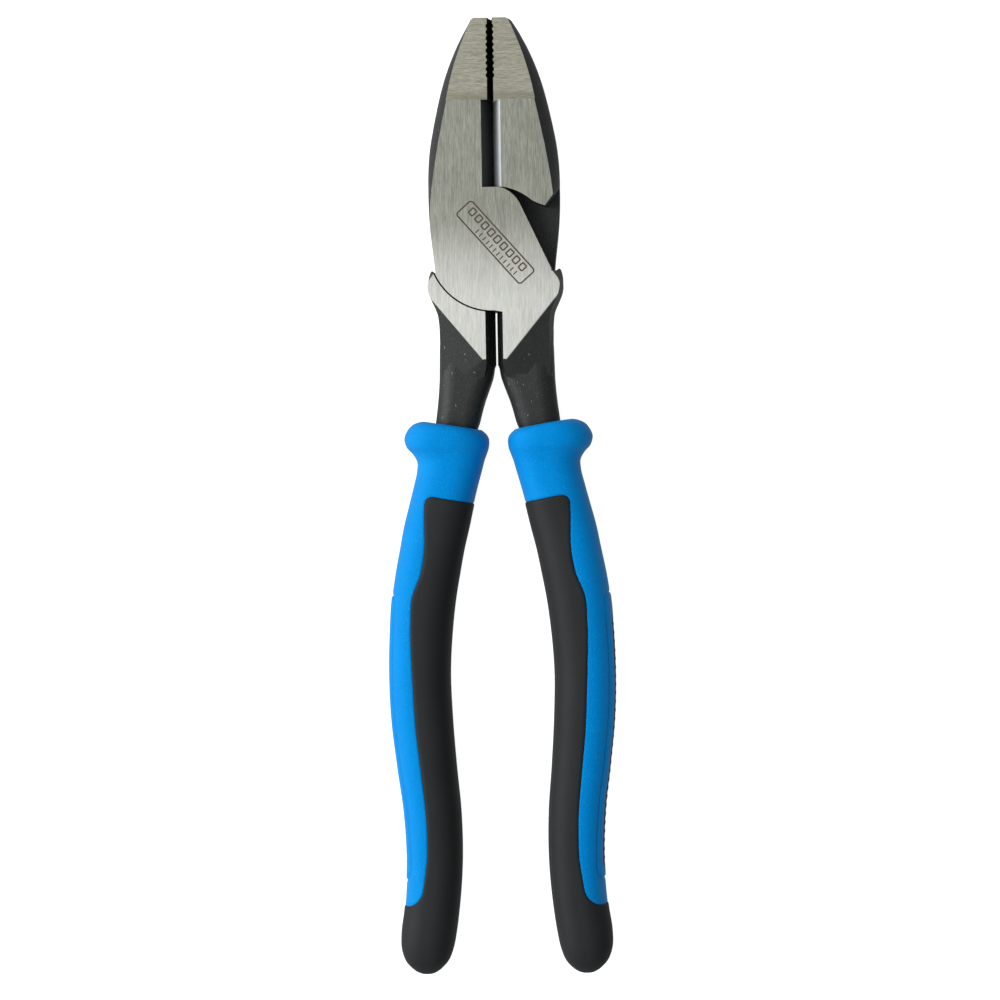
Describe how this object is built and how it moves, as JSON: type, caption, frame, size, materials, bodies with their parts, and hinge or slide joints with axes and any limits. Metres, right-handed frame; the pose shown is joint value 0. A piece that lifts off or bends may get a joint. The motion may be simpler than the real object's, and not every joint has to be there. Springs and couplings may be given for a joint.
{
  "type": "lineman pliers",
  "caption": "Lineman pliers with crossed forged halves, side-cutting knives, toothed nose, riveted pivot and guarded two-material grips.",
  "frame": {"origin": "on the pivot axis, in the plane of the back ground face of the head", "axes": "+Y along the tool towards the nose, +Z through the thickness towards the front face, +X towards the right handle seen from the front"},
  "size_m": [0.058, 0.243, 0.02],
  "materials": {
    "forged_steel": "black oxide forging with bright ground faces",
    "rivet_steel": "ground flush",
    "grip_shell": "fine moulded texture",
    "grip_soft": "matt soft touch"
  },
  "bodies": {
    "rear_half": {"rear_half_forging": "forged_steel", "pivot_rivet": "rivet_steel", "left_grip_shell": "grip_shell", "left_grip_overmould": "grip_soft", "left_flank_inlay": "grip_soft"},
    "front_half": {"front_half_forging": "forged_steel", "right_grip_shell": "grip_shell", "right_grip_overmould": "grip_soft", "right_flank_inlay": "grip_soft"}
  },
  "joints": [
    {"name": "pivot", "type": "hinge", "parent": "rear_half", "child": "front_half", "pos_m": [0, 0, 0.008], "axis": [0, 0, 1], "range_deg": [0, 32]}
  ]
}
